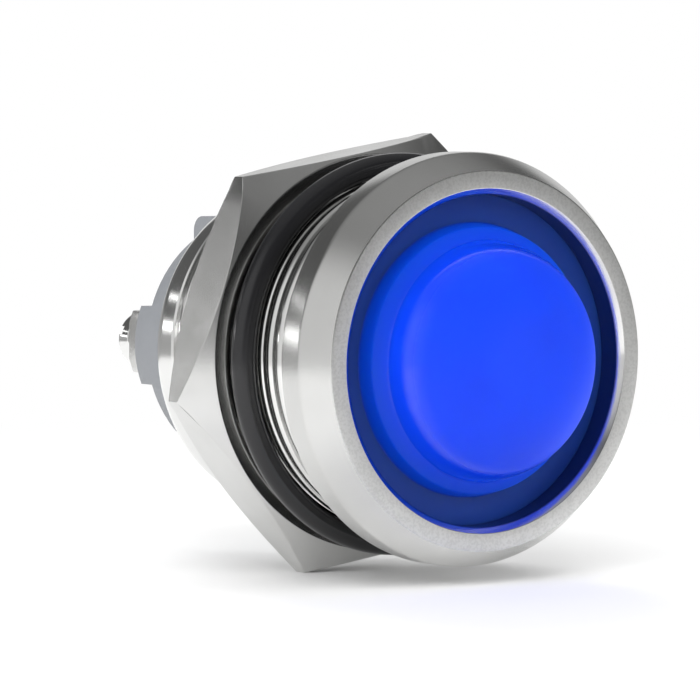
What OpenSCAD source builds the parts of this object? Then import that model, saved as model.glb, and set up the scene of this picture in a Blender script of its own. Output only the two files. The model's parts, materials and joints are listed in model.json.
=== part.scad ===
// Panel pilot light: a round metal barrel that clamps in a drilled panel, with a
// domed blue lens in front and two screw terminals behind.
// Millimetres. The origin is the centre of the seat that lies on the panel.
// +Y points to the rear, where the wires go. +Z is up.

/* [Barrel] */
// Radius of the plain neck that centres the panel hole
neck_r = 11; // [10:0.05:12]
// Length of the plain neck
neck_len = 1.1; // [0.5:0.1:3]
// Wall of the barrel at the neck
barrel_wall = 1.8; // [1.4:0.05:2.5]
// Drop from the neck to the crest of the fine thread
thread_drop = 0.08; // [0.02:0.01:0.2]
// Distance from the seat to the last thread crest
thread_end = 14.55; // [10:0.05:20]
// Pitch of the fine thread
thread_pitch = 1; // [0.5:0.05:2]
// Depth of the fine thread
thread_depth = 0.54; // [0.2:0.01:0.55]
// Drop from the thread's crest to the smooth tail
tail_drop = 0.62; // [0.3:0.02:0.9]
// Length of the smooth tail behind the thread
tail_len = 2.8; // [1.5:0.05:5]
// Length of the rounding at the barrel's rear end
tail_round = 1.25; // [0.4:0.05:1.5]
// Width of the flat rear rim
rim_w = 0.3; // [0.1:0.05:0.6]

/* [Front ring] */
// Thickness of the front ring, from its front face to the panel seat
ring_t = 4.2; // [3.8:0.1:6]
// Width of the ledge that the lens rim sits on
ledge_w = 0.83; // [0.5:0.01:1.2]
// Width of the flat front face, with the lip around the opening
ring_flat_w = 1.37; // [0.8:0.01:2]
// Width of the front chamfer
ring_edge_w = 1.1; // [0.4:0.05:2]
// Length of the front chamfer
ring_chamfer = 1.85; // [0.4:0.05:2.5]
// Width of the small chamfer around the opening
ring_lip = 0.25; // [0.1:0.05:0.5]
// Width of the panel seat, inside the rear bevel
seat_w = 0.42; // [0.2:0.01:1]
// Length of the rear bevel
seat_bevel = 0.62; // [0.2:0.02:1.5]

/* [Lens] */
// Depth of the lens rim below the ring's front face
lens_recess = 1.8; // [0.5:0.1:3]
// Thickness of the lens rim
lens_rim_t = 1.6; // [0.8:0.1:2.5]
// Width of the flat moat between the ring and the lens button
moat_w = 1.79; // [1:0.01:3]
// Drop from the foot of the button to its shoulder corner
shoulder_in = 0.22; // [0.05:0.01:0.5]
// Distance from the rim up to the shoulder corner
shoulder_h = 1.05; // [0.5:0.05:2]
// Distance from the rim up to the foot of the dome
dome_foot_h = 1.85; // [1:0.05:3]
// Radius of the flat at the middle of the dome
dome_flat_r = 2.38; // [1:0.02:4]
// Drop from the foot of the button to the widest part of the dome
dome_in = 1; // [0.6:0.05:2]
// Distance from the rim up to the dome arc's centre
dome_arc_h = 1.21; // [0:0.01:3]
// Wall of the hollow lens
lens_wall = 1.2; // [0.8:0.05:2]
// Thickness of the gasket under the lens rim
gasket_t = 0.5; // [0.3:0.1:1]

/* [Seal and nut] */
// Section radius of the rubber ring
oring_section_r = 0.76; // [0.6:0.02:1.2]
// Depth that the rubber ring is flattened where it grips the thread
oring_squash = 0.19; // [0.05:0.01:0.4]
// Distance from the seat to the middle of the rubber ring
oring_y = 4.8; // [1.5:0.1:8]
// Distance from the seat to the nut's front face
nut_y = 6.9; // [3:0.1:9]
// Thickness of the nut
nut_t = 3.8; // [2:0.1:5]
// Wall of the nut between its bore and a flat
nut_wall = 1.445; // [1.2:0.005:3]
// Distance from a flat in to the chamfered rim of each face
nut_face_in = 0.125; // [0.05:0.005:0.4]
// Height of the chamfer at the nut's corners
nut_chamfer = 1.42; // [0.5:0.02:2]
// Turn of a nut corner from +X towards +Z
nut_phase = 10.2; // [0:0.1:60]
// Width of the countersink at the nut's bore
nut_sink = 0.6; // [0.2:0.01:0.8]

/* [Insulator] */
// Depth of the insulator's collar below the barrel's rear rim
collar_depth = 0.35; // [0:0.05:2]
// Length of the collar
collar_len = 3.7; // [2:0.1:6]
// Step from the collar in to the foot of the insulator's drum
drum_step = 0.65; // [0.3:0.05:1.5]
// Taper of the drum, as the drop in radius along it
drum_taper = 0.44; // [0:0.02:1]
// Length of the drum behind the collar
drum_len = 4.5; // [3:0.1:7]
// Thickness of the wall between the terminals
barrier_t = 1.25; // [0.8:0.05:2]
// Height of that wall above the drum
barrier_h = 6; // [3:0.1:8]
// Rounding of the wall's two rear corners
barrier_round = 1; // [0.3:0.1:2]
// Half width of the ramps and ribs beside each terminal
guide_half_w = 2.5; // [2:0.05:3]
// Height of the ramp at the drum's edge
ramp_h = 1.4; // [0.5:0.1:3]
// Distance from the middle to the foot of the ramp
ramp_x = 3.9; // [3:0.1:6]
// Height of the rib beside the wall
rib_h = 2.9; // [1:0.1:5]
// Wall around the hollow in the insulator's front
hollow_wall = 1.25; // [0.8:0.05:2]
// Depth of the hollow in the insulator's front
hollow_len = 3; // [1:0.1:5]

/* [Terminals] */
// Side of the square terminal block
block_w = 4; // [3:0.1:5]
// Distance from the middle of the drum to a block's axis
block_x = 3.85; // [3:0.05:5]
// Distance from the drum's rear face to the block's rear face
block_h = 5.7; // [4:0.1:8]
// Depth of the pocket that holds the block
pocket_depth = 3.7; // [2:0.1:4]
// Height of the cone chamfer around the block's rear face
block_chamfer = 0.5; // [0.2:0.05:1]
// Radius of the chamfered rear face
block_face_r = 2.3; // [2:0.05:2.8]
// Radius of the wire hole
wire_r = 1.3; // [0.8:0.05:1.6]
// Distance from the drum's rear face to the wire hole's axis
wire_h = 2.8; // [2:0.1:5]
// Radius of the block's solder tail
tail_pin_r = 1; // [0.5:0.05:1.5]
// Length of the tail in front of the block
tail_pin_len = 3; // [2:0.1:5]

/* [Screws] */
// Radius of the screw head
head_r = 1.85; // [1.5:0.05:2.5]
// Height of the screw head
head_h = 1.5; // [1:0.05:2.5]
// Radius of the screw's shank
shank_r = 1.25; // [1:0.05:1.5]
// Length of the shank below the washer
shank_len = 3.8; // [2:0.1:5]
// Thickness of the washer
washer_t = 0.4; // [0.2:0.05:0.8]
// Width of the screw's slot
slot_w = 0.55; // [0.3:0.05:0.8]
// Depth of the screw's slot
slot_d = 0.75; // [0.3:0.05:1.2]
// Length of the cross arm
cross_len = 2.7; // [1:0.1:3.4]
// Turn of the slot on each screw
slot_turn = 20; // [0:1:180]

/* [Board] */
// Thickness of the circuit board
board_t = 1.2; // [0.8:0.1:2]
// Length of the reflector between the lens and the board
reflector_len = 5.6; // [4:0.1:8]
// Wall of the spacer sleeve behind the board
sleeve_wall = 0.75; // [0.4:0.05:1]
// Radius of the lamp's body
led_r = 1.5; // [1:0.1:2.5]
// Radius of the lamp's foot
led_foot_r = 1.9; // [1.2:0.1:3]
// Height of the lamp above the board
led_h = 4.6; // [3:0.1:6]
// Distance of each lamp from the two centre lines
led_xz = 2.6; // [2.2:0.1:3.2]
// Half the distance between a lamp's two legs
led_pitch = 1.27; // [1:0.01:2]
// Radius of the component legs
leg_r = 0.25; // [0.2:0.01:0.4]
// Radius of the capacitor
cap_r = 2; // [1.5:0.1:2.5]
// Length of the capacitor
cap_len = 6.3; // [4:0.1:7]
// Height of the capacitor's axis above the middle
cap_z = 5.2; // [4.6:0.1:6]
// Radius of a resistor's body
res_r = 0.9; // [0.6:0.05:1.2]
// Half length of a resistor's body
res_half = 2.5; // [1.5:0.1:3]
// Distance of a resistor's legs from the middle
res_leg_x = 3.5; // [3:0.1:4]
// Depth of the two resistors' axes below the middle
res_z = [3.9, 6.3];
// Size of the rectifier's body across, along and up
rectifier_size = [4, 2.3, 3.6];
// Radius of the insulated lead
lead_r = 0.65; // [0.4:0.05:1]

/* [Fits] */
// Radial clearance of a running thread or loose ring
fit_run = 0.06; // [0.02:0.01:0.1]
// Radial clearance of a fixed part in its seat
fit_seat = 0.05; // [0.02:0.01:0.1]
// Radial clearance of a leg in its board hole
fit_leg = 0.07; // [0.03:0.01:0.1]
// Gap that keeps two fixed parts from sharing a face
fit_gap = 0.03; // [0.01:0.01:0.1]

/* [Hidden] */
thread_r = neck_r - thread_drop;
tail_r = thread_r - tail_drop;
root_r = thread_r - thread_depth;
crest_w = thread_pitch / 8;
flank_w = (thread_pitch - crest_w) / 2;
turns = floor((thread_end - neck_len) / thread_pitch);
barrel_len = thread_end + tail_len;
bore_r = neck_r - barrel_wall;
rim_r = bore_r + rim_w;
seat_r = neck_r + seat_w;
ring_open_r = bore_r + ledge_w;
ring_flat_r = ring_open_r + ring_flat_w;
ring_r = ring_flat_r + ring_edge_w;
front = -ring_t;
button_r = ring_open_r - moat_w;
shoulder_r = button_r - shoulder_in;
dome_arc_r = button_r - dome_in - dome_flat_r;
lens_front = front + lens_recess;
lens_back = lens_front + lens_rim_t;
ledge_y = lens_back + gasket_t;
arc_y = lens_front - dome_arc_h;
foot_y = lens_front - dome_foot_h;
foot_turn = asin((arc_y - foot_y) / dome_arc_r);
board_y = lens_back + reflector_len;
board_back = board_y + board_t;
fixed_r = bore_r - fit_seat;
collar_y = barrel_len - collar_depth;
drum_foot_r = fixed_r - drum_step;
drum_r = drum_foot_r - drum_taper;
collar_front = collar_y - collar_len;
drum_y = collar_y + drum_len;
block_top = drum_y + block_h;
pocket_y = drum_y - pocket_depth;
tail_tip = pocket_y - tail_pin_len;
wire_y = drum_y + wire_h;
washer_top = block_top + washer_t;
nut_bore_r = thread_r + fit_run;
nut_flat_r = nut_bore_r + nut_wall;
nut_face_r = nut_flat_r - nut_face_in;
nut_corner_r = nut_flat_r / cos(30);
nut_cone_r = nut_face_r + (nut_corner_r - nut_face_r) * nut_t / 2 / nut_chamfer;
cut = 1;

// A turned solid: the profile is a list of [radius, y].
module turned(profile) rotate([-90, 0, 0]) rotate_extrude($fn = 96) polygon(profile);

// A round bar along Y from y0 to y1, at x and z.
module bar_y(r, y0, y1, x = 0, z = 0)
  translate([x, y0, z]) rotate([-90, 0, 0]) cylinder(r = r, h = y1 - y0, $fn = 48);

// A box given by its two corners.
module box(a, b) translate(a) cube(b - a);

// A flat shape drawn in Y and Z, spread about x = 0.
module across_x(t) translate([-t / 2, 0, 0]) rotate([90, 0, 90]) linear_extrude(t) children();

// The thread is a row of plain ridges, one for each turn.
module body_shell() color([0.78, 0.78, 0.77]) turned(concat(
  [[ring_open_r + ring_lip, front], [ring_flat_r, front], [ring_r, front + ring_chamfer],
   [ring_r, -seat_bevel], [seat_r, 0], [neck_r, 0], [neck_r, neck_len],
   [root_r, neck_len + flank_w]],
  [for (i = [turns - 1 : -1 : 0], p = [[root_r, -flank_w], [thread_r, 0], [thread_r, crest_w]])
    [p.x, thread_end - crest_w - i * thread_pitch + p.y]],
  [[tail_r, thread_end + flank_w]],
  [for (a = [0 : 15 : 90]) [rim_r + (tail_r - rim_r) * cos(a),
                            barrel_len - tail_round * (1 - sin(a))]],
  [[bore_r, barrel_len], [bore_r, ledge_y], [ring_open_r, ledge_y],
   [ring_open_r, front + ring_lip]]));

module lens() color([0.08, 0.24, 0.95]) turned(concat(
  [[0, arc_y - dome_arc_r]],
  [for (a = [90 : -7.5 : 15]) [dome_flat_r + dome_arc_r * cos(a), arc_y - dome_arc_r * sin(a)]],
  [[dome_flat_r + dome_arc_r * cos(foot_turn), foot_y],
   [shoulder_r, lens_front - shoulder_h], [button_r, lens_front],
   [ring_open_r - fit_run, lens_front], [ring_open_r - fit_run, lens_back],
   [button_r - lens_wall, lens_back], [shoulder_r - lens_wall, lens_front]],
  [for (a = [0 : 15 : 90]) [dome_flat_r + (dome_arc_r - lens_wall) * cos(a),
                            arc_y - (dome_arc_r - lens_wall) * sin(a)]],
  [[0, arc_y - dome_arc_r + lens_wall]]));

module lens_gasket() color([0.07, 0.07, 0.07]) turned([
  [bore_r + fit_seat, lens_back], [ring_open_r - fit_run, lens_back],
  [ring_open_r - fit_run, ledge_y], [bore_r + fit_seat, ledge_y]]);

module reflector() color([0.93, 0.93, 0.91]) {
  floor_gap = 0.3;
  floor_r = led_xz * sqrt(2) + led_foot_r + floor_gap;
  floor_t = 0.8;
  rim_t = 0.4;
  turned([[fixed_r - rim_t, lens_back], [fixed_r, lens_back], [fixed_r, board_y],
          [floor_r, board_y], [floor_r, board_y - floor_t]]);
}

module led_board() color([0.10, 0.33, 0.18]) difference() {
  bar_y(fixed_r - fit_seat, board_y, board_back);
  for (sx = [-1, 1], sz = [-1, 1], p = [-1, 1])
    bar_y(leg_r + fit_leg, board_y - cut, board_back + cut, sx * led_xz + p * led_pitch, sz * led_xz);
  for (sx = [-1, 1], z = res_z)
    bar_y(leg_r + fit_leg, board_y - cut, board_back + cut, sx * res_leg_x, -z);
  for (sx = [-1, 1]) {
    bar_y(leg_r + fit_leg, board_y - cut, board_back + cut, sx, cap_z);
    bar_y(leg_r + fit_leg, board_y - cut, board_back + cut, sx * block_x, 0);
  }
}

// A lamp with a foot, a round nose and two legs through the board.
module led(x, z) color([0.80, 0.87, 0.98]) union() {
  foot_t = 1;
  bar_y(led_foot_r, board_y - foot_t, board_y, x, z);
  bar_y(led_r, board_y - led_h + led_r, board_y, x, z);
  translate([x, board_y - led_h + led_r, z]) sphere(led_r, $fn = 32);
  for (p = [-1, 1]) bar_y(leg_r, board_y - cut / 2, board_back, x + p * led_pitch, z);
}
module led_1() led(led_xz, led_xz);
module led_2() led(-led_xz, led_xz);
module led_3() led(-led_xz, -led_xz);
module led_4() led(led_xz, -led_xz);

// A resistor that lies across the board's rear face on two bent legs.
module resistor(z) color([0.78, 0.66, 0.47]) union() {
  res_y = board_back + res_r + fit_seat;
  cap_w = 0.8;
  translate([0, res_y, z]) rotate([0, 90, 0]) {
    translate([0, 0, -res_half]) cylinder(r = res_r * 0.85, h = 2 * res_half, $fn = 32);
    translate([0, 0, -res_leg_x]) cylinder(r = leg_r, h = 2 * res_leg_x, $fn = 24);
    for (s = [-1, 1]) translate([0, 0, s * (res_half - cap_w / 2) - cap_w / 2])
      cylinder(r = res_r, h = cap_w, $fn = 32);
  }
  for (s = [-1, 1]) {
    translate([s * res_leg_x, res_y, z]) sphere(leg_r, $fn = 24);
    bar_y(leg_r, board_y + fit_gap, res_y, s * res_leg_x, z);
  }
}
module resistor_1() resistor(-res_z[0]);
module resistor_2() resistor(-res_z[1]);

module rectifier() color([0.10, 0.10, 0.11]) union() {
  leg_w = 0.6;
  leg_t = 0.25;
  leg_out = 0.75;
  rise = 1.1;
  half = rectifier_size / 2;
  box([-half.x, board_back + leg_t, -half.z],
      [half.x, board_back + rectifier_size.y, half.z]);
  for (sx = [-1, 1], sz = [-1, 1]) {
    x0 = sx * half.x / 1.6 - leg_w / 2;
    z0 = min(sz * half.z, sz * (half.z + leg_out));
    z1 = min(sz * half.z, sz * (half.z + leg_t));
    box([x0, board_back, z0], [x0 + leg_w, board_back + leg_t, z0 + leg_out]);
    box([x0, board_back, z1], [x0 + leg_w, board_back + rise, z1 + leg_t]);
  }
}

module capacitor() color([0.13, 0.16, 0.30]) union() {
  groove_y = board_back + 1;
  cap_top = board_back + cap_len;
  groove = 0.15;
  translate([0, 0, cap_z]) turned([[0, board_back], [cap_r, board_back],
    [cap_r, groove_y - groove], [cap_r - groove, groove_y], [cap_r, groove_y + groove],
    [cap_r, cap_top - groove], [cap_r - groove, cap_top], [0, cap_top]]);
  for (s = [-1, 1]) bar_y(leg_r, board_y + fit_gap, board_back + cut / 2, s, cap_z);
}

module board_sleeve() color([0.88, 0.87, 0.83]) turned([
  [fixed_r - sleeve_wall, board_back], [fixed_r, board_back],
  [fixed_r, collar_front], [fixed_r - sleeve_wall, collar_front]]);

// An insulated lead from the board to a terminal's tail, bare at both ends.
module lead(side, tint) color(tint) {
  bare = 0.8;
  turned_x = side * block_x;
  bar_y(leg_r, board_y + fit_gap, tail_tip, turned_x);
  bar_y(lead_r, board_back + bare, tail_tip - bare, turned_x);
}
module lead_pos() lead(1, [0.70, 0.08, 0.07]);
module lead_neg() lead(-1, [0.06, 0.06, 0.06]);

// The pocket, tail hole and guides repeat on both sides of the wall.
module terminal_cuts(side) {
  half = block_w / 2 + fit_seat;
  box([side * block_x - half, pocket_y, -half], [side * block_x + half, block_top + cut, half]);
  bar_y(tail_pin_r + fit_seat, collar_front, pocket_y + cut, side * block_x);
}

module terminal_guides() intersection() {
  bar_y(drum_r, drum_y - cut, drum_y + rib_h + cut);
  union() {
    rib_overlap = 0.25;
    rib_x = block_x - block_w / 2 + rib_overlap;
    box([-rib_x, drum_y - cut, -guide_half_w], [rib_x, drum_y + rib_h, guide_half_w]);
    for (s = [0, 1]) mirror([s, 0, 0]) translate([0, 0, -guide_half_w])
      linear_extrude(2 * guide_half_w) polygon([[ramp_x, drum_y - cut], [ramp_x, drum_y],
        [drum_r, drum_y + ramp_h], [drum_r + cut, drum_y + ramp_h], [drum_r + cut, drum_y - cut]]);
  }
}

module rear_insulator() color([0.45, 0.48, 0.50]) difference() {
  union() {
    hollow_r = fixed_r - hollow_wall;
    turned([[0, collar_front + hollow_len], [hollow_r, collar_front + hollow_len],
            [hollow_r, collar_front], [fixed_r, collar_front], [fixed_r, collar_y],
            [drum_foot_r, collar_y], [drum_r, drum_y], [0, drum_y]]);
    terminal_guides();
    across_x(barrier_t) union() {
      half = drum_r;
      top = drum_y + barrier_h;
      translate([drum_y - cut, -half]) square([barrier_h + cut - barrier_round, 2 * half]);
      translate([drum_y - cut, barrier_round - half])
        square([barrier_h + cut, 2 * (half - barrier_round)]);
      for (s = [-1, 1]) translate([top - barrier_round, s * (half - barrier_round)])
        circle(barrier_round, $fn = 48);
    }
  }
  terminal_cuts(1);
  terminal_cuts(-1);
  plus_at = [3.7, 4.35];
  plus_half = 1;
  plus_w = 0.125;
  plus_d = 0.22;
  for (arm = [[plus_half, plus_w], [plus_w, plus_half]])
    box([plus_at.x - arm.x, drum_y - plus_d, plus_at.y - arm.y],
        [plus_at.x + arm.x, drum_y + cut, plus_at.y + arm.y]);
  vent_r = 0.65;
  vent_at = [2.94, -4.3];
  vent_d = 2.2;
  bar_y(vent_r, drum_y - vent_d, drum_y + cut, vent_at.x, vent_at.y);
}

// A square block with a wire hole, a screw hole from the rear and a solder tail.
module terminal_block(side) color([0.74, 0.74, 0.73]) translate([side * block_x, 0, 0]) difference() {
  half = block_w / 2;
  union() {
    intersection() {
      box([-half, pocket_y, -half], [half, block_top, half]);
      turned([[0, pocket_y - cut], [half * 2, pocket_y - cut], [half * 2, block_top - cut * 1.5],
              [half * sqrt(2), block_top - block_chamfer], [block_face_r, block_top],
              [0, block_top]]);
    }
    bar_y(tail_pin_r, tail_tip, pocket_y + cut);
  }
  translate([0, wire_y, -block_w]) cylinder(r = wire_r, h = 2 * block_w, $fn = 48);
  bar_y(shank_r + fit_run, block_top - shank_len - fit_seat, block_top + cut);
}
module terminal_block_pos() terminal_block(1);
module terminal_block_neg() terminal_block(-1);

module screw_washer(side) color([0.80, 0.80, 0.79]) difference() {
  bar_y(head_r, block_top, washer_top, side * block_x);
  bar_y(shank_r + fit_run, block_top - cut, washer_top + cut, side * block_x);
}
module screw_washer_pos() screw_washer(1);
module screw_washer_neg() screw_washer(-1);

module terminal_screw(side) color([0.80, 0.80, 0.79]) translate([side * block_x, 0, 0]) difference() {
  head_top = washer_top + head_h;
  edge = 0.25;
  tip = 0.3;
  shank_tip = block_top - shank_len;
  turned([[0, shank_tip], [shank_r - tip, shank_tip], [shank_r, shank_tip + tip],
          [shank_r, washer_top], [head_r, washer_top], [head_r, head_top - edge],
          [head_r - edge, head_top], [0, head_top]]);
  rotate([0, slot_turn, 0]) {
    box([-head_r - cut, head_top - slot_d, -slot_w / 2], [head_r + cut, head_top + cut, slot_w / 2]);
    box([-slot_w / 2, head_top - slot_d, -cross_len / 2], [slot_w / 2, head_top + cut, cross_len / 2]);
  }
}
module terminal_screw_pos() terminal_screw(1);
module terminal_screw_neg() terminal_screw(-1);

// A round rubber section with a narrow flat on the thread.
module o_ring() color([0.05, 0.05, 0.05]) {
  rise = oring_section_r - oring_squash;
  centre_r = neck_r + fit_run + rise;
  half_turn = 180 - acos(rise / oring_section_r);
  turned([for (a = [-1 : 0.1 : 1]) [centre_r + oring_section_r * cos(a * half_turn),
                                    oring_y + oring_section_r * sin(a * half_turn)]]);
}

module hex_nut() color([0.80, 0.80, 0.79]) difference() {
  intersection() {
    translate([0, nut_y, 0]) rotate([-90, 0, 0]) rotate([0, 0, -nut_phase])
      cylinder(r = nut_corner_r, h = nut_t, $fn = 6);
    turned([[0, nut_y], [nut_face_r, nut_y], [nut_cone_r, nut_y + nut_t / 2],
            [nut_face_r, nut_y + nut_t], [0, nut_y + nut_t]]);
  }
  sink_r = nut_bore_r + nut_sink;
  turned([[0, nut_y - cut], [sink_r, nut_y - cut], [sink_r, nut_y],
          [nut_bore_r, nut_y + nut_sink], [nut_bore_r, nut_y + nut_t - nut_sink],
          [sink_r, nut_y + nut_t], [sink_r, nut_y + nut_t + cut], [0, nut_y + nut_t + cut]]);
}

body_shell();
lens();
lens_gasket();
reflector();
led_board();
led_1();
led_2();
led_3();
led_4();
resistor_1();
resistor_2();
rectifier();
capacitor();
board_sleeve();
lead_pos();
lead_neg();
rear_insulator();
terminal_block_pos();
terminal_block_neg();
screw_washer_pos();
screw_washer_neg();
terminal_screw_pos();
terminal_screw_neg();
o_ring();
hex_nut();
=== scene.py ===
"""Dresses the panel pilot light: turned and threaded nickel barrel, domed blue lens,
rubber ring, hexagon nut, grey insulator and two screw terminals."""
import json
import math

import bpy
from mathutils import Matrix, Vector


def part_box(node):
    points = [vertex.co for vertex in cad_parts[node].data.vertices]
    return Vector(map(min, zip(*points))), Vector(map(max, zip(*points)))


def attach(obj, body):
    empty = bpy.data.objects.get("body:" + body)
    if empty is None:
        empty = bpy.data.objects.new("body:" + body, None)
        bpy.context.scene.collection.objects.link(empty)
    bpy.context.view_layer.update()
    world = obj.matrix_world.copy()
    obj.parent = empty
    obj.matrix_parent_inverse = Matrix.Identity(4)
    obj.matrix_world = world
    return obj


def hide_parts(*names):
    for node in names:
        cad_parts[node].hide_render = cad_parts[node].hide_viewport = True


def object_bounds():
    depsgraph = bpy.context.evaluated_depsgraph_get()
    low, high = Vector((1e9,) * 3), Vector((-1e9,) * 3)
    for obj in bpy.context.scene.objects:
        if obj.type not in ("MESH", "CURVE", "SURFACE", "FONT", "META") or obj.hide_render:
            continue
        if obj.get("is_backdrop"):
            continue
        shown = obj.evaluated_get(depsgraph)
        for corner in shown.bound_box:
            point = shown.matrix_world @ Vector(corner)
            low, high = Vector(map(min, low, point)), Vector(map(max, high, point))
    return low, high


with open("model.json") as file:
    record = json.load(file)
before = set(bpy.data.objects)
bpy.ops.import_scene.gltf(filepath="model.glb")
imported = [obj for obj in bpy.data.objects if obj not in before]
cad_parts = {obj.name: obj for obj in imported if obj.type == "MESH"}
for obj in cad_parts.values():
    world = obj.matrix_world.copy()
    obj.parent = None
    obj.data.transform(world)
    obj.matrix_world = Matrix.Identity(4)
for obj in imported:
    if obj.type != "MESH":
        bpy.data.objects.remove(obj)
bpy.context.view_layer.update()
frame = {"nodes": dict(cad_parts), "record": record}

MM = 0.001
MICRON = 1e-6
TURN = 2 * math.pi
AXIS = (0.0, 1.0, 0.0)

# ---------------------------------------------------------------- sizes, in metres
shell_lo, shell_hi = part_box("body_shell")
lens_lo, lens_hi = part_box("lens")
nut_lo, nut_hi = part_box("hex_nut")
seal_lo, seal_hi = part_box("o_ring")

EDGE = 0.06 * MM  # rounding of an edge left by the lathe

# Front ring, from its face at FRONT back to the panel seat at y = 0.
RING_R = shell_hi.x
FRONT = shell_lo.y
LENS_R = lens_hi.x
LENS_BACK = lens_hi.y
OPEN_R = LENS_R + 0.01 * MM  # opening that the lens fills
LIP = 0.36 * MM  # polished bevel around the opening
FLAT_R = RING_R - 1.1 * MM
CHAMFER = 1.85 * MM
SEAT_R = RING_R - 1.08 * MM
SEAT_BEVEL = 0.62 * MM
LEDGE_Y = LENS_BACK + 0.5 * MM  # ledge behind the lens and its gasket

# Neck, thread and smooth tail.
NECK_R = RING_R - 1.5 * MM
NECK_LEN = 1.1 * MM
PITCH = 1.0 * MM
CREST_R = NECK_R - 0.08 * MM
ROOT_R = CREST_R - 0.54 * MM
FIRST_CREST = 0.75 * PITCH
THREAD_TURNS = 15
THREAD_END = 14.55 * MM
BORE_R = NECK_R - 1.8 * MM
TAIL_R = CREST_R - 0.62 * MM
TAIL_ROUND = 1.25 * MM
RIM_R = BORE_R + 0.3 * MM
BARREL_END = shell_hi.y

# Lens: a flat rim in a recess, a button with a sloping collar, and the dome.
LENS_TOP = lens_lo.y
RIM_Y = FRONT + 1.8 * MM
BUTTON_R = LENS_R - 1.73 * MM
COLLAR_R = BUTTON_R - 0.22 * MM
COLLAR_Y = RIM_Y - 1.05 * MM
FOOT_Y = RIM_Y - 1.62 * MM
DOME_R = 7.24 * MM
DOME_CENTRE_Y = RIM_Y - 1.21 * MM
LENS_WALL = 1.2 * MM

# Nut: a hexagon whose corners are chamfered by a cone on each face.
NUT_Y = (nut_lo.y + nut_hi.y) / 2
CORNER_WAY = math.radians(10.2)
CORNER_R = nut_hi.x / math.cos(CORNER_WAY)
NUT_FLAT_R = CORNER_R * math.cos(TURN / 12)
NUT_FACE_R = NUT_FLAT_R - 0.125 * MM
CORNER_CHAMFER = 1.42 * MM
CONE_R = NUT_FACE_R + (CORNER_R - NUT_FACE_R) * (nut_hi.y - NUT_Y) / CORNER_CHAMFER
NUT_BORE_R = NUT_FLAT_R - 1.445 * MM
NUT_SINK = 0.6 * MM

# Terminal screws.
SHANK_R = 1.24 * MM
SHANK_CORE_R = SHANK_R - 0.2 * MM
SCREW_PITCH = 0.45 * MM
DRIVE_DEPTH = 0.75 * MM
DRIVE_WIDTH = 0.55 * MM
CROSS_LEN = 2.7 * MM
DRIVE_TURN = 20


# ---------------------------------------------------------------- modelling helpers
def only(obj):
    """Selects one object and makes it the active one."""
    if bpy.context.object and bpy.context.object.mode != "OBJECT":
        bpy.ops.object.mode_set(mode="OBJECT")
    bpy.ops.object.select_all(action="DESELECT")
    obj.select_set(True)
    bpy.context.view_layer.objects.active = obj


def edit(obj):
    """Opens an object in edit mode with all of it selected."""
    only(obj)
    bpy.ops.object.mode_set(mode="EDIT")
    bpy.ops.mesh.select_all(action="SELECT")


def apply_all(obj):
    """Applies every modifier, in order."""
    only(obj)
    for mod in list(obj.modifiers):
        bpy.ops.object.modifier_apply(modifier=mod.name)


def clean(merge=MICRON):
    """Merges doubles and turns the faces outwards, in edit mode."""
    bpy.ops.mesh.select_all(action="SELECT")
    bpy.ops.mesh.remove_doubles(threshold=merge)
    bpy.ops.mesh.normals_make_consistent(inside=False)


def done(obj, angle=32):
    """Back to object mode, smooth where the surface is smooth."""
    only(obj)
    bpy.ops.object.shade_smooth_by_angle(angle=math.radians(angle))
    return obj


def outline(name, points):
    """An object whose mesh is a chain of edges through points (x, y, z)."""
    bpy.ops.object.select_all(action="DESELECT")
    bpy.ops.mesh.primitive_plane_add(size=MM, location=points[0])
    obj = bpy.context.object
    obj.name = obj.data.name = name
    bpy.ops.object.transform_apply(location=True, rotation=False, scale=False)
    edit(obj)
    bpy.ops.mesh.merge(type="CENTER")
    for here, there in zip(points, points[1:]):
        step = Vector(there) - Vector(here)
        bpy.ops.mesh.extrude_region_move(TRANSFORM_OT_translate={"value": step})
    return obj


def rounded(corners, segments=4):
    """Points (radius, y) of a closed outline; a corner with a third value is rounded by it."""
    out = []
    for i, corner in enumerate(corners):
        here = Vector(corner[:2])
        if len(corner) == 2:
            out.append(here)
            continue
        back = (Vector(corners[i - 1][:2]) - here).normalized()
        ahead = (Vector(corners[(i + 1) % len(corners)][:2]) - here).normalized()
        half = back.angle(ahead) / 2
        centre = here + (back + ahead).normalized() * corner[2] / math.sin(half)
        start = here + back * corner[2] / math.tan(half) - centre
        stop = here + ahead * corner[2] / math.tan(half) - centre
        for k in range(segments + 1):
            out.append(centre + start.lerp(stop, k / segments).normalized() * corner[2])
    return [tuple(point) for point in out]


def turned(name, profile, steps=192, angle=32, about=(0, 0, 0)):
    """A solid turned about an axis along Y from a profile of (radius, y)."""
    points = [(about[0] + r, y, about[2]) for r, y in profile]
    obj = outline(name, points)
    bpy.ops.mesh.select_all(action="SELECT")
    bpy.ops.mesh.spin(steps=steps, angle=TURN, center=about, axis=AXIS)
    clean()
    return done(obj, angle)


def arc(centre, radius, start, stop, count):
    """Points of an arc in (radius, y), angles in degrees from +r towards -y."""
    out = []
    for i in range(count + 1):
        a = math.radians(start + (stop - start) * i / count)
        out.append((centre[0] + radius[0] * math.cos(a), centre[1] - radius[1] * math.sin(a)))
    return out


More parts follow.
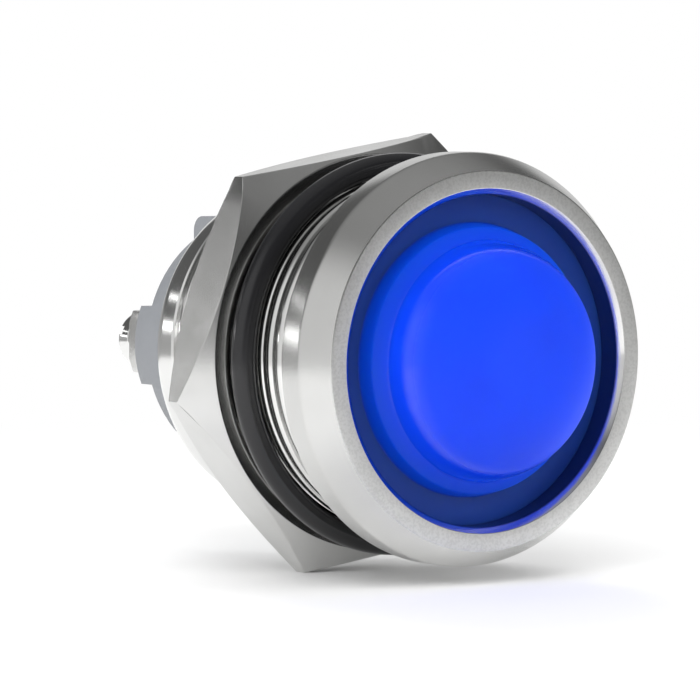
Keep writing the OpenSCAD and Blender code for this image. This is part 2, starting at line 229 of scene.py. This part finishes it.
def thread(name, crest, root, pitch, start, turns, steps, about=(0, 0, 0)):
    """A right-handed ridge with a broad, round crest wound around Y from start."""
    tip = reach = 0.46 * pitch
    crown = arc((crest - tip, start), (tip, tip), -42, 42, 8)
    section = [(root, start + reach)] + crown + [(root, start - reach)]
    obj = outline(name, [(r, y, 0) for r, y in section + section[:1]])
    clean(0.1 * MICRON)
    only(obj)
    mod = obj.modifiers.new("wind", "SCREW")
    mod.axis = "Y"
    mod.angle = TURN
    mod.screw_offset = pitch
    mod.iterations = turns
    mod.steps = mod.render_steps = steps
    mod.use_smooth_shade = True
    mod.use_normal_calculate = True
    apply_all(obj)
    edit(obj)
    bpy.ops.mesh.fill_holes(sides=0)
    bpy.ops.transform.translate(value=about)
    clean(0.01 * MICRON)
    only(obj)
    return obj


def join(name, parts):
    """Joins several meshes in one piece."""
    only(parts[0])
    for p in parts[1:]:
        p.select_set(True)
    bpy.ops.object.join()
    obj = bpy.context.object
    obj.name = obj.data.name = name
    return obj


def soften(obj, width, segments, angle):
    """Rounds the edges whose faces meet at more than an angle, in degrees."""
    only(obj)
    mod = obj.modifiers.new("edges", "BEVEL")
    mod.width = width
    mod.segments = segments
    mod.limit_method = "ANGLE"
    mod.angle_limit = math.radians(angle)
    apply_all(obj)


def softened_copy(node, name, width, segments=2, angle=28):
    """A node's shape with its edges rounded."""
    source = frame["nodes"][node]
    obj = bpy.data.objects.new(name, source.data.copy())
    obj.data.name = name
    bpy.context.scene.collection.objects.link(obj)
    only(obj)
    bpy.ops.mesh.customdata_custom_splitnormals_clear()
    edit(obj)
    clean(2 * MICRON)
    bpy.ops.mesh.dissolve_limited(angle_limit=math.radians(1.0))
    only(obj)
    soften(obj, width, segments, angle)
    return done(obj, 35)


def carve(obj, tool, operation="DIFFERENCE"):
    """Takes tool's shape out of obj, or keeps only what lies inside it."""
    only(obj)
    mod = obj.modifiers.new("cut", "BOOLEAN")
    mod.operation = operation
    mod.solver = "EXACT"
    mod.object = tool
    bpy.ops.object.modifier_apply(modifier=mod.name)
    bpy.data.objects.remove(tool, do_unlink=True)


def bar(name, size, centre, turn):
    """A block turned by some degrees about Y."""
    bpy.ops.object.select_all(action="DESELECT")
    bpy.ops.mesh.primitive_cube_add(size=1, location=centre, rotation=(0, math.radians(turn), 0), scale=size)
    obj = bpy.context.object
    obj.name = obj.data.name = name
    bpy.ops.object.transform_apply(location=True, rotation=True, scale=True)
    return obj


# ---------------------------------------------------------------- finishes
class Value:
    """A shader value: sums and products of it add Math nodes."""

    def __init__(self, finish, socket):
        self.finish, self.socket = finish, socket

    def reckon(self, kind, a, b=None):
        inputs = {0: a} if b is None else {0: a, 1: b}
        return self.finish.node("ShaderNodeMath", {"operation": kind}, inputs)

    def __add__(self, other): return self.reckon("ADD", self, other)
    def __radd__(self, other): return self.reckon("ADD", other, self)
    def __sub__(self, other): return self.reckon("SUBTRACT", self, other)
    def __rsub__(self, other): return self.reckon("SUBTRACT", other, self)
    def __mul__(self, other): return self.reckon("MULTIPLY", self, other)
    def __rmul__(self, other): return self.reckon("MULTIPLY", other, self)
    def __pow__(self, other): return self.reckon("POWER", self, other)
    def size(self): return self.reckon("ABSOLUTE", self)


class Finish:
    """A material made of one Principled shader and the nodes that feed it."""

    def __init__(self, name, colour, roughness, metallic=0.0, **fixed):
        self.material = bpy.data.materials.new(name)
        self.material.use_nodes = True
        self.nodes = self.material.node_tree.nodes
        self.links = self.material.node_tree.links
        self.shader = self.nodes["Principled BSDF"]
        self.set("Base Color", (*colour, 1.0))
        self.set("Roughness", roughness)
        self.set("Metallic", metallic)
        for label, value in fixed.items():
            self.set(label.replace("_", " ").title().replace("Ior", "IOR"), value)
        self.place = self.node("ShaderNodeTexCoord", out="Object")

    def set(self, label, value):
        socket = self.shader.inputs[label]
        if isinstance(value, Value):
            self.links.new(value.socket, socket)
        else:
            socket.default_value = value

    def node(self, kind, settings=None, inputs=None, out=0):
        made = self.nodes.new(kind)
        for key, value in (settings or {}).items():
            if key == "stops":
                ramp = made.color_ramp.elements
                while len(ramp) < len(value):
                    ramp.new(1.0)
                for element, (at, colour) in zip(ramp, value):
                    element.position, element.color = at, colour
            else:
                setattr(made, key, value)
        for key, value in (inputs or {}).items():
            if isinstance(value, Value):
                self.links.new(value.socket, made.inputs[key])
            else:
                made.inputs[key].default_value = value
        return Value(self, made.outputs[out])

    def parts(self):
        """The x, y and z of a point on the object, in metres."""
        return [self.node("ShaderNodeSeparateXYZ", inputs={0: self.place}, out=i) for i in range(3)]

    def noise(self, scale, detail=3.0, stretch=None, rough=0.5):
        where = self.place
        if stretch:
            where = self.node("ShaderNodeMapping", inputs={"Vector": where, "Scale": stretch})
        return self.node("ShaderNodeTexNoise", inputs={
            "Vector": where, "Scale": scale, "Detail": detail, "Roughness": rough}, out=0)

    def mix(self, amount, a, b):
        """A colour between a and b."""
        return self.node("ShaderNodeMix", {"data_type": "RGBA"}, {
            "Factor": amount, 6: a if isinstance(a, Value) else (*a, 1.0),
            7: b if isinstance(b, Value) else (*b, 1.0)}, out=2)

    def smooth(self, value, low, high):
        """0 below low, 1 above high and an easy slope between them."""
        return self.node("ShaderNodeMapRange", {"interpolation_type": "SMOOTHSTEP"}, {
            "Value": value, "From Min": low, "From Max": high, "To Min": 0.0, "To Max": 1.0})

    def radius(self):
        """Distance from the barrel's axis, in metres."""
        x, y, z = self.parts()
        return (x * x + z * z) ** 0.5

    def bump(self, height, distance, strength=1.0):
        self.set("Normal", self.node("ShaderNodeBump", inputs={
            "Height": height, "Distance": distance, "Strength": strength}))


def nickel(name, light, dark, rough, spread, grain):
    """Nickel plate: faint clouding, fine turning marks and tiny pits."""
    f = Finish(name, light, rough, 1.0)
    cloud = f.noise(380, 4)
    fine = f.noise(5200, 2)
    marks = f.noise(900, 2, (1.0, 14.0, 1.0))
    f.set("Base Color", f.mix(cloud, light, dark))
    f.set("Roughness", rough + spread * (cloud - 0.5) + 0.5 * spread * (fine - 0.5))
    f.bump(0.6 * marks + 0.4 * fine, grain)
    return f.material


def barrel_nickel(name):
    """Bright turned barrel; its front ring is satin outside a polished lip, and speckled on its flat; the
    bore wall inside the lip gets painted shade, tinted blue as a painted reflection of the lens.
    """
    f = Finish(name, (0.72, 0.72, 0.71), 0.15, 1.0)
    r, y = f.radius(), f.parts()[1]
    ring = 1.0 - f.smooth(y, -0.7 * MM, -0.5 * MM)
    satin = ring * f.smooth(r, OPEN_R + 0.9 * LIP, OPEN_R + 1.1 * LIP)
    # painted shade, tinted blue as a painted reflection of the lens: mask of the bore wall inside the lip
    bore = ring * (1.0 - f.smooth(r, OPEN_R + 0.03 * MM, OPEN_R + 0.06 * MM))
    front = satin * (1.0 - f.smooth(y, FRONT + 0.02 * MM, FRONT + 0.10 * MM))
    cloud = f.noise(260, 4)
    speck = f.noise(6500, 2)
    marks = f.noise(900, 2, (1.0, 16.0, 1.0))
    bright = f.mix(cloud, (0.78, 0.78, 0.77), (0.68, 0.68, 0.67))
    dull = f.mix(cloud, (0.66, 0.66, 0.65), (0.55, 0.55, 0.54))
    blasted = f.mix(0.3 * front * f.smooth(speck, 0.42, 0.62), dull, (0.40, 0.40, 0.39))
    # the bore wall takes a dark blue-grey: painted shade with a painted blue reflection
    f.set("Base Color", f.mix(bore, f.mix(satin, bright, blasted), (0.22, 0.24, 0.32)))
    f.set("Roughness", 0.12 + 0.04 * cloud + satin * 0.08 + bore * 0.12 + front * (0.04 + 0.10 * speck))
    f.bump((0.3 * satin + 0.7 * front) * speck + 0.5 * (1.0 - satin) * marks, 4 * MICRON)
    return f.material


def blue_moulding(name):
    """Translucent blue plastic that spreads light inside, with a painted blue glow that evens out its
    shading; painted shade darkens the recess around the button and the button's side wall.
    """
    # emission strength 1 powers the painted glow that is set below
    f = Finish(name, (0.006, 0.060, 0.95), 0.3, 0.0, subsurface_weight=1.0, subsurface_scale=0.003,
               specular_ior_level=0.25, emission_strength=1.0, coat_roughness=0.06)
    f.set("Subsurface Radius", (0.3, 0.5, 1.0))
    r, y = f.radius(), f.parts()[1]
    cloud = f.noise(160, 3)
    fine = f.noise(2600, 3)
    # painted shade: the recess ring around the button is coloured darker, in base colour and in glow
    painted_recess_shade = f.smooth(r, 8.15 * MM, 8.35 * MM)
    # painted shade: the button's side wall is coloured darker than its dome, in base colour and in glow
    side = f.smooth(y, FRONT - 0.3 * MM, FRONT + 0.8 * MM) * (1.0 - painted_recess_shade)
    limb = f.smooth(r, 6.2 * MM, 7.0 * MM) * (1.0 - f.smooth(r, 7.2 * MM, 7.35 * MM))
    dome = f.mix(cloud, (0.003, 0.044, 0.60), (0.002, 0.022, 0.38))
    button = f.mix(side, dome, (0.001, 0.036, 0.42))
    f.set("Base Color", f.mix(painted_recess_shade, button, (0.006, 0.032, 0.20)))
    # painted glow: a blue emission that evens out the lens's shading, weaker on the side wall and in the
    # recess
    spread = f.mix(side, (0.001, 0.015, 0.24), (0.000, 0.013, 0.14))
    f.set("Emission Color", f.mix(painted_recess_shade, spread, (0.001, 0.005, 0.04)))
    f.set("Coat Weight", 0.7 * limb)
    f.set("Roughness", 0.55 - 0.43 * limb + 0.06 * fine)
    f.bump(fine, 0.6 * MICRON)
    return f.material


def plastic(name, light, dark, rough, spread, grain):
    """Moulded plastic: slight mottling and a fine spark-eroded grain."""
    f = Finish(name, light, rough)
    cloud = f.noise(220, 4)
    fine = f.noise(3000, 3)
    f.set("Base Color", f.mix(cloud, light, dark))
    f.set("Roughness", rough + spread * (fine - 0.5))
    f.bump(fine, grain)
    return f.material


# slot: maker, light colour, dark colour, roughness, its spread, depth of the grain in microns
PLAIN = {
    "nickel_satin": (nickel, (0.68, 0.68, 0.67), (0.58, 0.58, 0.57), 0.24, 0.10, 3),
    "terminal_nickel": (nickel, (0.70, 0.70, 0.69), (0.55, 0.55, 0.54), 0.22, 0.14, 8),
    "screw_nickel": (nickel, (0.78, 0.78, 0.77), (0.68, 0.68, 0.67), 0.12, 0.10, 3),
    "rubber_black": (plastic, (0.010, 0.010, 0.011), (0.005, 0.005, 0.006), 0.20, 0.10, 3),
    "plastic_white": (plastic, (0.86, 0.86, 0.84), (0.80, 0.80, 0.77), 0.30, 0.10, 2),
    "board_green": (plastic, (0.03, 0.20, 0.08), (0.02, 0.15, 0.06), 0.40, 0.10, 4),
    "led_clear": (plastic, (0.76, 0.83, 0.93), (0.70, 0.78, 0.90), 0.10, 0.04, 1),
    "resistor_tan": (plastic, (0.58, 0.44, 0.25), (0.50, 0.37, 0.20), 0.40, 0.10, 4),
    "component_black": (plastic, (0.03, 0.03, 0.033), (0.02, 0.02, 0.022), 0.45, 0.10, 4),
    "capacitor_blue": (plastic, (0.04, 0.06, 0.19), (0.03, 0.045, 0.15), 0.30, 0.10, 2),
    "sleeve_ivory": (plastic, (0.74, 0.72, 0.65), (0.68, 0.65, 0.57), 0.45, 0.10, 4),
    "lead_red": (plastic, (0.50, 0.03, 0.02), (0.42, 0.02, 0.015), 0.35, 0.10, 2),
    "lead_black": (plastic, (0.02, 0.02, 0.02), (0.012, 0.012, 0.012), 0.35, 0.10, 2),
    "plastic_grey": (plastic, (0.205, 0.214, 0.228), (0.172, 0.180, 0.194), 0.50, 0.12, 7),
}
FINISHES = {slot: make(slot, *looks, grain * MICRON) for slot, (make, *looks, grain) in PLAIN.items()}
FINISHES["nickel_polished"] = barrel_nickel("nickel_polished")
FINISHES["lens_blue"] = blue_moulding("lens_blue")


def place(obj, slot, body, node):
    """Gives a new piece its finish and its body, and puts it in a node's stead."""
    obj.data.materials.clear()
    obj.data.materials.append(FINISHES[slot])
    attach(obj, body)
    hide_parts(node)


# ---------------------------------------------------------------- barrel
front_ring = rounded([
    (OPEN_R, LEDGE_Y), (OPEN_R, FRONT + LIP, EDGE / 3), (OPEN_R + LIP, FRONT, EDGE),
    (FLAT_R, FRONT, 2 * EDGE), (RING_R, FRONT + CHAMFER, 12 * EDGE),
    (RING_R, -SEAT_BEVEL, 2 * EDGE), (SEAT_R, 0.0, EDGE),
    (NECK_R, 0.0), (NECK_R, NECK_LEN, EDGE), (ROOT_R, NECK_LEN + 0.44 * PITCH),
    (ROOT_R, THREAD_END), (TAIL_R, THREAD_END + 0.1 * MM)])
tail = arc((RIM_R, BARREL_END - TAIL_ROUND), (TAIL_R - RIM_R, TAIL_ROUND), 0, -90, 8)
bore = rounded([(BORE_R, BARREL_END, EDGE), (BORE_R, LEDGE_Y), (OPEN_R, LEDGE_Y)])
core = turned("core", front_ring + tail + bore, steps=256)

ridge = thread("ridge", CREST_R, ROOT_R - EDGE, PITCH, FIRST_CREST, THREAD_TURNS, 160)
run_out = THREAD_END - 0.75 * (CREST_R - TAIL_R)
carve(ridge, turned("run_out", [
    (0, NECK_LEN), (NECK_R, NECK_LEN), (NECK_R, run_out - 0.1 * MM), (CREST_R, run_out),
    (TAIL_R - EDGE, THREAD_END), (0, THREAD_END)], steps=160), "INTERSECT")
barrel = done(join("barrel", [core, ridge]), 30)
place(barrel, "nickel_polished", "root", "body_shell")

# ---------------------------------------------------------------- lens
round_r = DOME_CENTRE_Y - LENS_TOP
centre = (DOME_R - round_r, DOME_CENTRE_Y)
dome = arc(centre, (round_r, round_r), 90, 12, 24)
button = rounded([
    dome[-1], (DOME_R, FOOT_Y, 0.4 * MM), (COLLAR_R, COLLAR_Y, 0.3 * MM), (BUTTON_R, RIM_Y, 0.12 * MM),
    (LENS_R, RIM_Y)])[1:]
back = [(LENS_R, LENS_BACK), (BUTTON_R - LENS_WALL, LENS_BACK), (COLLAR_R - LENS_WALL, RIM_Y)]
hollow = arc(centre, (round_r - LENS_WALL, round_r - LENS_WALL), 0, 90, 16)
lens = turned("blue_lens", [(0, LENS_TOP)] + dome + button + back + hollow + [(0, LENS_TOP + LENS_WALL)],
              steps=192, angle=40)
place(lens, "lens_blue", "root", "lens")

# ---------------------------------------------------------------- rubber ring
section_r = (seal_hi.y - seal_lo.y) / 2
section_centre = (seal_hi.x - section_r, (seal_lo.y + seal_hi.y) / 2)
FLAT_EDGE = 138.6  # degrees from the outside of the section to its flat on the thread
section = arc(section_centre, (section_r, section_r), -FLAT_EDGE, FLAT_EDGE, 30)
seal = turned("rubber_ring", section + section[:1], steps=192, angle=50)
place(seal, "rubber_black", "seal", "o_ring")

# ---------------------------------------------------------------- nut
nut = turned("hexagon_nut", [
    (NUT_BORE_R, nut_lo.y + NUT_SINK), (NUT_BORE_R + NUT_SINK, nut_lo.y), (NUT_FACE_R, nut_lo.y),
    (CONE_R, NUT_Y), (NUT_FACE_R, nut_hi.y), (NUT_BORE_R + NUT_SINK, nut_hi.y),
    (NUT_BORE_R, nut_hi.y - NUT_SINK), (NUT_BORE_R, nut_lo.y + NUT_SINK)], steps=240)
edit(nut)
for flat in range(6):
    way = CORNER_WAY + TURN * (flat + 0.5) / 6
    normal = Vector((math.cos(way), 0, math.sin(way)))
    bpy.ops.mesh.select_all(action="SELECT")
    bpy.ops.mesh.bisect(plane_co=normal * NUT_FLAT_R, plane_no=normal, use_fill=True, clear_outer=True)
clean()
soften(nut, 0.05 * MM, 2, 20)
done(nut, 12)
place(nut, "nickel_satin", "nut", "hex_nut")

# ---------------------------------------------------------------- insulator and terminals
drum = softened_copy("rear_insulator", "grey_insulator", 0.12 * MM)
place(drum, "plastic_grey", "root", "rear_insulator")
for side in ("pos", "neg"):
    block = softened_copy(f"terminal_block_{side}", f"clamp_block_{side}", 0.08 * MM)
    place(block, "terminal_nickel", "root", f"terminal_block_{side}")

# ---------------------------------------------------------------- screws and washers
def machine_screw(side):
    """A round-edged head with a slot and a short cross bar, on a threaded shank."""
    low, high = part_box(f"terminal_screw_{side}")
    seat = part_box(f"screw_washer_{side}")[1].y
    about = ((low.x + high.x) / 2, 0, 0)
    head_r = (high.z - low.z) / 2
    tip = (SHANK_CORE_R - 0.2 * MM, low.y), (SHANK_CORE_R, low.y + 0.3 * MM)
    screw = turned(f"screw_{side}", rounded([
        (0, low.y), *tip, (SHANK_CORE_R, seat), (head_r, seat, 2 * EDGE),
        (head_r, high.y - 0.08 * MM, 0.5 * MM), (0, high.y)], 6), 64, 30, about)
    top = (about[0], high.y, 0)
    carve(screw, bar("slot", (3 * head_r, 2 * DRIVE_DEPTH, DRIVE_WIDTH), top, DRIVE_TURN))
    carve(screw, bar("cross", (DRIVE_WIDTH, 2 * DRIVE_DEPTH, CROSS_LEN), top, DRIVE_TURN))
    turns = int((seat - low.y) / SCREW_PITCH) - 1
    ridge = thread("shank_ridge", SHANK_R, SHANK_CORE_R - 0.02 * MM, SCREW_PITCH,
                   low.y + 0.5 * SCREW_PITCH, turns, 40, about)
    return done(join(f"clamp_screw_{side}", [screw, ridge]), 30)


for side in ("pos", "neg"):
    place(machine_screw(side), "screw_nickel", f"screw_{side}", f"terminal_screw_{side}")
    washer = softened_copy(f"screw_washer_{side}", f"washer_{side}", 0.05 * MM)
    place(washer, "screw_nickel", f"washer_{side}", f"screw_washer_{side}")

# ---------------------------------------------------------------- the pieces that stay as they are
for part in frame["record"]["subparts"]:
    node, slot = part["node"], part["material_slot"]
    mesh = frame["nodes"][node].data
    if not mesh.materials:
        mesh.materials.append(None)
    for i in range(len(frame["nodes"][node].material_slots)):
        frame["nodes"][node].material_slots[i].link = "OBJECT"
        frame["nodes"][node].material_slots[i].material = FINISHES[slot]

# ---------------------------------------------------------------- studio
FLOOR_R = 0.16
FADE_FROM, FADE_TO = 0.03, 0.13  # the floor turns to plain white between these distances
lo, hi = (Vector(corner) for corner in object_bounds())
bpy.ops.object.select_all(action="DESELECT")
bpy.ops.mesh.primitive_circle_add(vertices=96, radius=FLOOR_R, fill_type="NGON", location=(0, 0, lo.z))
floor = bpy.context.object
floor.name = "floor"
ground = Finish("floor_pale", (0.86, 0.86, 0.86), 0.7)
x, y, z = ground.parts()
far = ground.smooth((x * x + y * y) ** 0.5, FADE_FROM, FADE_TO)
seen = ground.node("ShaderNodeLightPath", out="Is Camera Ray")
glow = ground.node("ShaderNodeEmission", inputs={"Color": (1, 1, 1, 1), "Strength": 1.0})
blend = ground.node("ShaderNodeMixShader", inputs={
    0: seen * far, 1: Value(ground, ground.shader.outputs[0]), 2: glow})
ground.links.new(blend.socket, ground.nodes["Material Output"].inputs["Surface"])
floor.data.materials.append(ground.material)
floor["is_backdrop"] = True


# name, place, width and power of each soft box, which faces the part and isn't mirrored in it
for name, at, width, power in (
        ("key", (-0.28, -0.35, 0.38), 0.45, 2.6), ("fill", (0.40, -0.30, 0.15), 0.25, 1.2),
        ("back", (0.15, 0.45, 0.35), 0.30, 2.0), ("side", (-0.45, -0.08, 0.10), 0.30, 1.6)):
    bpy.ops.object.light_add(type="AREA", location=at)
    light = bpy.context.object
    light.name = name
    light.data.shape = "SQUARE"
    light.data.size = width
    light.data.energy = power
    light.rotation_euler = (-Vector(at)).to_track_quat("-Z", "Y").to_euler()
    light.visible_glossy = False

world = bpy.data.worlds.new("studio")
bpy.context.scene.world = world
world.use_nodes = True


class Sky(Finish):
    """The studio around the part: what it lights with and what metal mirrors."""

    def __init__(self, tree):
        self.nodes, self.links = tree.nodes, tree.links
        self.shader = self.nodes["Background"]
        self.place = self.node("ShaderNodeTexCoord", out="Generated")


def grey(level, *more):
    """A colour without a hue."""
    return (level, level, level, *more)


sky = Sky(world.node_tree)
x, y, z = sky.parts()
# Rising from below to above: pale floor, grey horizon, dark room, lighter ceiling.
levels = ((0.00, 0.85), (0.40, 0.80), (0.45, 0.45), (0.545, 0.38), (0.59, 0.15), (0.80, 0.10), (0.88, 0.26),
          (1.00, 0.38))
room = sky.node("ShaderNodeValToRGB", {"stops": [(at, grey(level, 1)) for at, level in levels]},
                {"Fac": z * 0.5 + 0.5})
left = sky.smooth(-0.98 * x - 0.12 * y + 0.14 * z, 0.62, 0.90)
room = sky.mix(left, room, grey(0.85))
right_back = sky.smooth(0.54 * x + 0.80 * y + 0.26 * z, 0.90, 0.96)
room = sky.mix(right_back, room, grey(0.80))
# way to each small bright lamp, half its height and its power
for way, half, power in (((-0.59, 0.80, 0.107), 0.024, 6.0), ((-0.528, 0.80, 0.284), 0.016, 3.2),
                         ((0.62, -0.79, 0.190), 0.030, 1.2), ((0.62, -0.79, 0.480), 0.040, 1.2)):
    way = Vector(way).normalized()
    across = sky.smooth(way.x * x + way.y * y + way.z * z, 0.978, 0.988)
    along = 1.0 - sky.smooth((z - way.z).size(), 0.5 * half, half)
    room = sky.mix(across * along, room, grey(power))
mirrored, seen = (sky.node("ShaderNodeLightPath", out=f"Is {kind} Ray") for kind in ("Glossy", "Camera"))
lit = sky.mix(mirrored, grey(0.55), room)
sky.set("Color", sky.mix(seen, lit, grey(1.0)))

# ---------------------------------------------------------------- camera
AZIMUTH, ELEVATION, DISTANCE = math.radians(-36.65), math.radians(3.4), 0.25
toward = Vector((math.sin(AZIMUTH) * math.cos(ELEVATION), -math.cos(AZIMUTH) * math.cos(ELEVATION),
                 math.sin(ELEVATION)))
bpy.ops.object.camera_add(location=Vector((0, FRONT, 0)) + toward * DISTANCE)
camera = bpy.context.object
camera.rotation_euler = ((lo + hi) / 2 - camera.location).to_track_quat("-Z", "Y").to_euler()
camera.data.lens = 215
camera.data.sensor_width = 36
camera.data.clip_start = 0.01
camera.data.clip_end = 10
bpy.context.scene.camera = camera
bpy.context.scene.view_settings.view_transform = "Standard"
